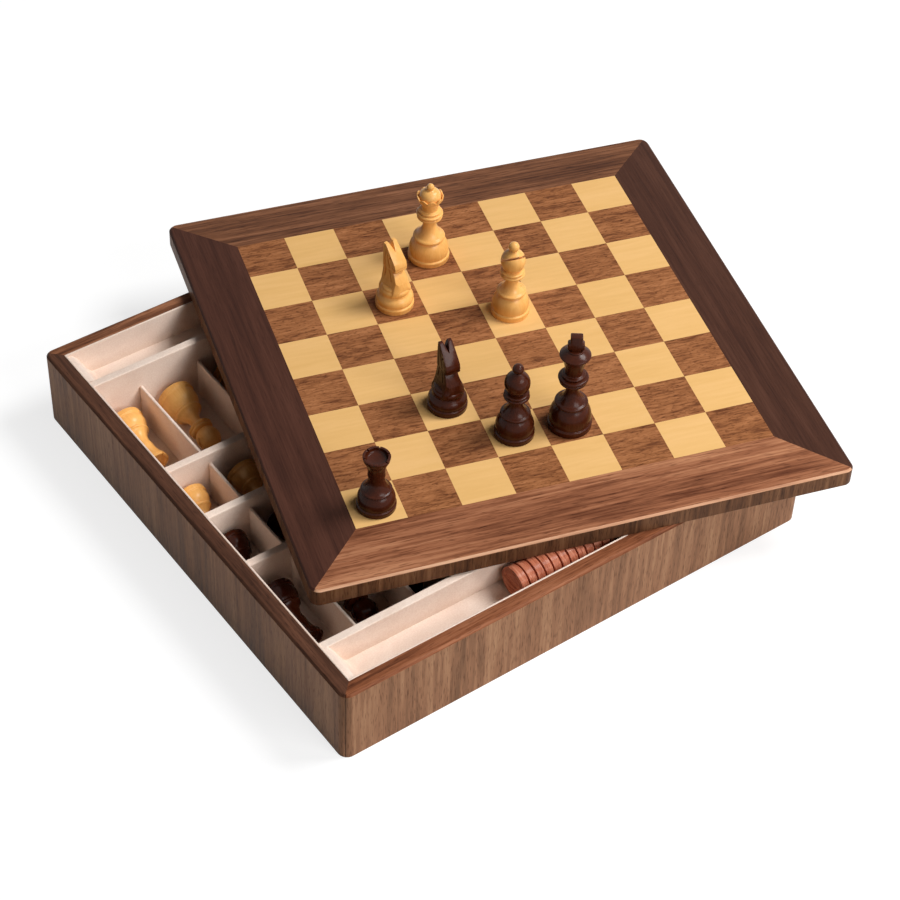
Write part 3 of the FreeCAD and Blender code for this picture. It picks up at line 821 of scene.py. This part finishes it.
rook_blank = turned(rook_shares, rook_foot / 2, rook_height, man_woods["light"])
slot_size = (2 * rook_foot, battlement_slot, 2 * battlement_depth)
slots = []
for step in range(battlement_slots):
    spin = Matrix.Rotation(half_turn * step / battlement_slots, 4, "Z")
    slots.append(bar(slot_size, Matrix.Translation((0, 0, rook_height)) @ spin))
rook = sawn(rook_blank, slots)
lay(rook, "stored_left_light_rook", "stored_left_light_rook", (0,))
lay(rook, "stored_right_light_rook", "case", (columns - 1,))
lay(rook, "stored_dark_rook", "case", (0,))
stand(rook, "dark_rook", half_turn)

# Bishops: a pear-shaped mitre over two rings with a small ball on top, turned in one piece and
# sawn with one slanting cut.
bishop_foot, bishop_height = 0.028, 0.0635
slit_width, slit_angle, slit_share, slit_past_axis_share = 0.0016, math.radians(37), 0.775, 0.3
bishop_shares = [
    (0, 0, 0), (0.97, 0, 0), (1, 0.012, 0.1), (1, 0.048, 0), (0.95, 0.075, 0.2), (0.925, 0.082, 0),
    (0.67, 0.285, 0.13), (0.7, 0.29, 0), (0.7, 0.328, 0.35), (0.63, 0.333, 0), (0.345, 0.535, -0.15),
    (0.58, 0.542, 0), (0.58, 0.58, 0.4), (0.56, 0.584, 0), (0.56, 0.618, 0.4), (0.4, 0.624, 0),
    (0.22, 0.885, 0.27), (0.19, 0.892, 0), (0, 1, 1),
]
bishop_blank = turned(bishop_shares, bishop_foot / 2, bishop_height, man_woods["light"])
slit_depth = bishop_foot + slit_past_axis_share * bishop_foot / 2
slit_middle = Matrix.Translation((0, slit_past_axis_share * bishop_foot / 2 - slit_depth / 2, 0))
slit_place = Matrix.Translation((0, 0, slit_share * bishop_height)) @ Matrix.Rotation(-slit_angle, 4, "X")
bishop = sawn(bishop_blank, [bar((bishop_foot, slit_depth, slit_width), slit_place @ slit_middle)])
lay(bishop, "stored_light_bishop", "case", (1,))
lay(bishop, "stored_dark_bishop", "case", (1,))
stand(bishop, "dark_bishop", half_turn)
stand(bishop, "light_bishop")

# Knights: a horse's head sawn out flat from the side and from the front, carved and glued on a
# turned foot. The two on the board look a little past its front.
knight_foot, knight_height = 0.028, 0.061
light_knight_turn, dark_knight_turn = math.radians(22), math.radians(10)
knight_foot_shares = [
    (0, 0, 0), (0.97, 0, 0), (1, 0.012, 0.1), (1, 0.05, 0), (0.955, 0.078, 0.2), (0.93, 0.085, 0),
    (0.8, 0.195, 0.2), (0.74, 0.22, 0), (0.76, 0.23, 0), (0.72, 0.3, 0.2), (0.6, 0.34, 0.2), (0, 0.34, 0),
]
horse_side_shares = [
    (-0.62, 0.25), (0.66, 0.25), (0.72, 0.3), (0.71, 0.35), (0.64, 0.4), (0.3, 0.53), (0.12, 0.575),
    (0.27, 0.572), (0.4, 0.555), (0.47, 0.57), (0.48, 0.62), (0.41, 0.68), (-0.1, 0.825), (-0.36, 0.895),
    (-0.53, 0.9), (-0.565, 0.87), (-0.55, 0.7), (-0.55, 0.45), (-0.6, 0.34),
]
horse_front_shares = [
    (0.66, 0.25), (0.54, 0.33), (0.43, 0.41), (0.36, 0.49), (0.325, 0.56), (0.38, 0.58), (0.38, 0.69),
    (0.36, 0.8), (0.33, 0.91),
]
horse_blank_shares = [
    (0, 0.2, 0), (0.84, 0.2, 0), (0.82, 0.3, 0), (0.68, 0.45, -0.05), (0.64, 0.58, 0), (0.64, 1, 0),
    (0, 1, 0),
]
ear_notch_shares = [(-0.17, 0.92), (0, 0.79), (0.17, 0.92)]
eye_radius, eye_depth, eye_share = 0.0009, 0.0011, 0.74
carved_edge, carved_from = 0.00045, math.radians(25)
cheek_share = 0.37
cheek_stroke_shares = [
    ((-0.3, 0.84), (0.02, 0.6)), ((-0.38, 0.8), (-0.34, 0.44)), ((-0.1, 0.56), (0.2, 0.42)),
]
mouth_shares = ((0.6, 0.598), (0.2, 0.622))
stroke_width, stroke_depth = 0.0009, 0.001


def drum(radius, depth, place):
    """A round bar for a drilled hole, put in place."""
    shape = bmesh.new()
    bmesh.ops.create_cone(shape, cap_ends=True, segments=48, radius1=radius, radius2=radius, depth=depth,
                          matrix=place)
    return shape


def stroke(ends, across, depth):
    """A narrow bar along a carved stroke of the side view, as far across the head as given."""
    start, end = [Vector((x * knight_foot / 2, z * knight_height)) for x, z in ends]
    run, middle = end - start, (start + end) / 2
    tilt = Matrix.Rotation(math.atan2(run.y, -run.x), 4, "X")
    place = Matrix.Translation((across, -middle.x, middle.y)) @ tilt
    return bar((2 * depth, run.length, stroke_width), place)


def horse_head():
    """The head: side view and front view sawn out of a round blank, then notched, drilled,
    rounded and carved with a few strokes."""
    radius = knight_foot / 2
    side, right, notch = [
        [(x * radius, z * knight_height) for x, z in shares]
        for shares in (horse_side_shares, horse_front_shares, ear_notch_shares)
    ]
    front = right + [(-x, z) for x, z in reversed(right)]
    blank = bmesh.new()
    blank.from_mesh(turned(horse_blank_shares, radius, knight_height, man_woods["light"]))
    cuts = [("INTERSECT", prism(front, -knight_foot, knight_foot)), ("INTERSECT", blank),
            ("DIFFERENCE", prism(notch, -knight_foot, knight_foot))]
    strokes = [("DIFFERENCE", stroke(mouth_shares, 0, radius))]
    for sign in (1, -1):
        cheek = sign * cheek_share * radius
        eye = Matrix.Translation((cheek, 0, eye_share * knight_height))
        drilled = drum(eye_radius, 2 * eye_depth, eye @ Matrix.Rotation(quarter_turn, 4, "Y"))
        cuts.append(("DIFFERENCE", drilled))
        strokes += [("DIFFERENCE", stroke(ends, cheek, stroke_depth)) for ends in cheek_stroke_shares]
    profile = prism(side, -radius, radius)
    profile.transform(Matrix.Rotation(-quarter_turn, 4, "Z"))
    head = piece_of(profile)
    tools = carve(head, cuts)
    rounding = head.modifiers.new("rounded edges", "BEVEL")
    rounding.limit_method = "ANGLE"
    rounding.angle_limit = carved_from
    rounding.width = carved_edge
    rounding.segments = 2
    tools += carve(head, strokes)
    mesh = finished_mesh(head)
    put_away(tools)
    for face in mesh.polygons:
        face.use_smooth = True
    mesh.set_sharp_from_angle(angle=crease)
    return facing_out(mesh)


knight_base = turned(knight_foot_shares, knight_foot / 2, knight_height, man_woods["light"])
knight = joined([knight_base, horse_head()])
lay(knight, "stored_light_knight", "case", (2,), quarter_turn)
lay(knight, "stored_dark_knight", "case", (2,), quarter_turn)
stand(knight, "dark_knight", dark_knight_turn)
stand(knight, "light_knight", light_knight_turn)

# Queens: a slender stem with a ringed collar and a coronet whose rim is filed into scallops
# around a small dome.
queen_foot, queen_height = 0.0308, 0.0668
queen_shares = [
    (0, 0, 0), (0.97, 0, 0), (1, 0.012, 0.1), (1, 0.045, 0), (0.955, 0.07, 0.2), (0.93, 0.076, 0),
    (0.675, 0.268, 0.13), (0.705, 0.272, 0), (0.705, 0.312, 0.35), (0.64, 0.317, 0), (0.345, 0.545, -0.15),
    (0.545, 0.553, 0), (0.545, 0.59, 0.4), (0.575, 0.594, 0), (0.575, 0.63, 0.4), (0.49, 0.634, 0),
    (0.49, 0.662, 0.4), (0.39, 0.667, 0), (0.56, 0.79, -0.08), (0.645, 0.858, 0), (0.575, 0.856, 0),
    (0.52, 0.82, 0), (0.2, 0.925, 0.2), (0.15, 0.933, 0), (0, 1, 1),
]
scallops, scallop_depth = 9, 0.0019
coronet_low_share, coronet_inner_share, coronet_rise_share = 0.8, 0.54, 0.045
queen = turned(queen_shares, queen_foot / 2, queen_height, man_woods["light"], sides=144)
for point in queen.vertices:
    out = math.hypot(point.co.x, point.co.y)
    rise = point.co.z / queen_height - coronet_low_share
    if rise > 0 and out > coronet_inner_share * queen_foot / 2:
        turn = math.atan2(point.co.y, point.co.x) * scallops / 2
        point.co.z -= scallop_depth * (1 - abs(math.sin(turn))) * min(1, rise / coronet_rise_share)
lay(queen, "stored_dark_queen", "case", (3,))
stand(queen, "light_queen")

# Kings: the tallest men, with a collar of three rings, a cup that widens into a crown and a
# flat cross let into its top.
king_foot, king_height = 0.0308, 0.0815
king_turn = math.radians(-20)
cross_width, cross_thickness, cross_height, cross_seat = 0.0114, 0.0056, 0.0128, 0.0011
cross_edge = 0.0009
king_shares = [
    (0, 0, 0), (0.97, 0, 0), (1, 0.012, 0.1), (1, 0.045, 0), (0.955, 0.07, 0.2), (0.925, 0.076, 0),
    (0.665, 0.285, 0.13), (0.69, 0.29, 0), (0.69, 0.33, 0.35), (0.62, 0.335, 0), (0.318, 0.563, -0.15),
    (0.558, 0.571, 0), (0.558, 0.608, 0.4), (0.61, 0.612, 0), (0.61, 0.653, 0.4), (0.481, 0.656, 0),
    (0.481, 0.684, 0.4), (0.39, 0.689, 0), (0.643, 0.903, -0.06), (0.669, 0.911, 0), (0.669, 0.935, 0.3),
    (0.36, 0.975, 0.04), (0.33, 0.99, 0.2), (0, 1, 0),
]
cross_shares = [(0.62, 0), (0.62, 0.14), (1, 0.1), (1, 0.5), (0.7, 0.54), (0.74, 1)]
king_body = turned(king_shares, king_foot / 2, king_height - cross_height + cross_seat, man_woods["light"])


def king_cross():
    """A flat cross with flared arms, its edges rounded over."""
    right = [(row[0] * cross_width / 2, row[1] * cross_height) for row in cross_shares]
    section = right + [(-x, z) for x, z in reversed(right)]
    shape = prism(section, -cross_thickness / 2, cross_thickness / 2)
    bmesh.ops.translate(shape, verts=shape.verts, vec=(0, 0, king_height - cross_height))
    bmesh.ops.bevel(shape, geom=shape.edges, offset=cross_edge, segments=3, profile=0.5, affect="EDGES")
    for side in shape.faces:
        side.smooth = True
    mesh = bpy.data.meshes.new("king cross")
    shape.to_mesh(mesh)
    shape.free()
    return mesh


king = joined([king_body, king_cross()])
lay(king, "stored_light_king", "case", (3,))
stand(king, "dark_king", half_turn + king_turn)

# Stage: a plain white floor that keeps the set's shadow, a broad softbox overhead to the right
# and a weaker one in front. Seen directly, the floor and the room are white.
floor_half = 4.0
floor_pale, floor_glow, floor_shade = 0.92, 0.78, 0.34
floor_corners = [(-floor_half, -floor_half, 0), (floor_half, -floor_half, 0),
                 (floor_half, floor_half, 0), (-floor_half, floor_half, 0)]
floor_mesh = bpy.data.meshes.new("floor")
floor_mesh.from_pydata(floor_corners, [], [(0, 1, 2, 3)])
floor = bpy.data.objects.new("floor", floor_mesh)
scene.collection.objects.link(floor)


def seen_directly(tree):
    """Whether a ray comes straight from the camera, or by way of a mirror or through glass."""
    path = tree.nodes.new("ShaderNodeLightPath")
    direct = math_of(tree, "MAXIMUM", path.outputs["Is Camera Ray"], path.outputs["Is Glossy Ray"])
    return math_of(tree, "MAXIMUM", direct, path.outputs["Is Transmission Ray"])


floor_paint, paint, matt = new_finish("white floor")
feed(paint, matt, {"Base Color": (floor_pale, floor_pale, floor_pale, 1), "Roughness": 1,
                   "Specular IOR Level": 0})
shade = added(paint, "ShaderNodeBsdfDiffuse", {"Color": (floor_shade, floor_shade, floor_shade, 1)})
glow = added(paint, "ShaderNodeEmission", {"Strength": floor_glow})
lifted = added(paint, "ShaderNodeAddShader", {0: shade[0], 1: glow[0]})
either = added(paint, "ShaderNodeMixShader", {0: seen_directly(paint), 1: matt.outputs[0], 2: lifted[0]})
feed(paint, paint.nodes["Material Output"], {"Surface": either[0]})
floor_mesh.materials.append(floor_paint)

room_light = 0.04
world = bpy.data.worlds.new("studio")
scene.world = world
world.use_nodes = True
room = world.node_tree
strength = span_of(room, seen_directly(room), room_light, 1)
feed(room, room.nodes["Background"], {"Color": white, "Strength": strength})
lamp_aim = Vector((0.05, 0, 0.05))


def softbox(name, place, size, power):
    """A lamp with a square or oblong face, aimed at the set; metres and watts."""
    lamp = bpy.data.lights.new(name, "AREA")
    lamp.shape = "RECTANGLE"
    lamp.size, lamp.size_y = size
    lamp.energy = power
    box = bpy.data.objects.new(name, lamp)
    scene.collection.objects.link(box)
    box.location = place
    box.rotation_euler = (lamp_aim - Vector(place)).to_track_quat("-Z", "Y").to_euler()


softbox("overhead", place=(1.4, -0.6, 2.2), size=(1.0, 1.0), power=60)
softbox("front", place=(0.4, -1.75, 1.3), size=(1.2, 0.8), power=22.5)

# Camera: where the picture was taken from, with a long lens, above the set, in front of it and
# to its left.
lens_pixels, picture_pixels, film_width = 2389.05, 900, 36.0
camera_place = Vector((-0.7184, -0.9798, 1.2177))
camera_turn = (45.292, -1.720, -35.627)
camera_data = bpy.data.cameras.new("camera")
camera_data.sensor_width = film_width
camera_data.lens = lens_pixels / picture_pixels * film_width
camera_data.clip_end = 20
camera = bpy.data.objects.new("camera", camera_data)
camera.location = camera_place
camera.rotation_euler = [math.radians(angle) for angle in camera_turn]
scene.collection.objects.link(camera)
scene.camera = camera
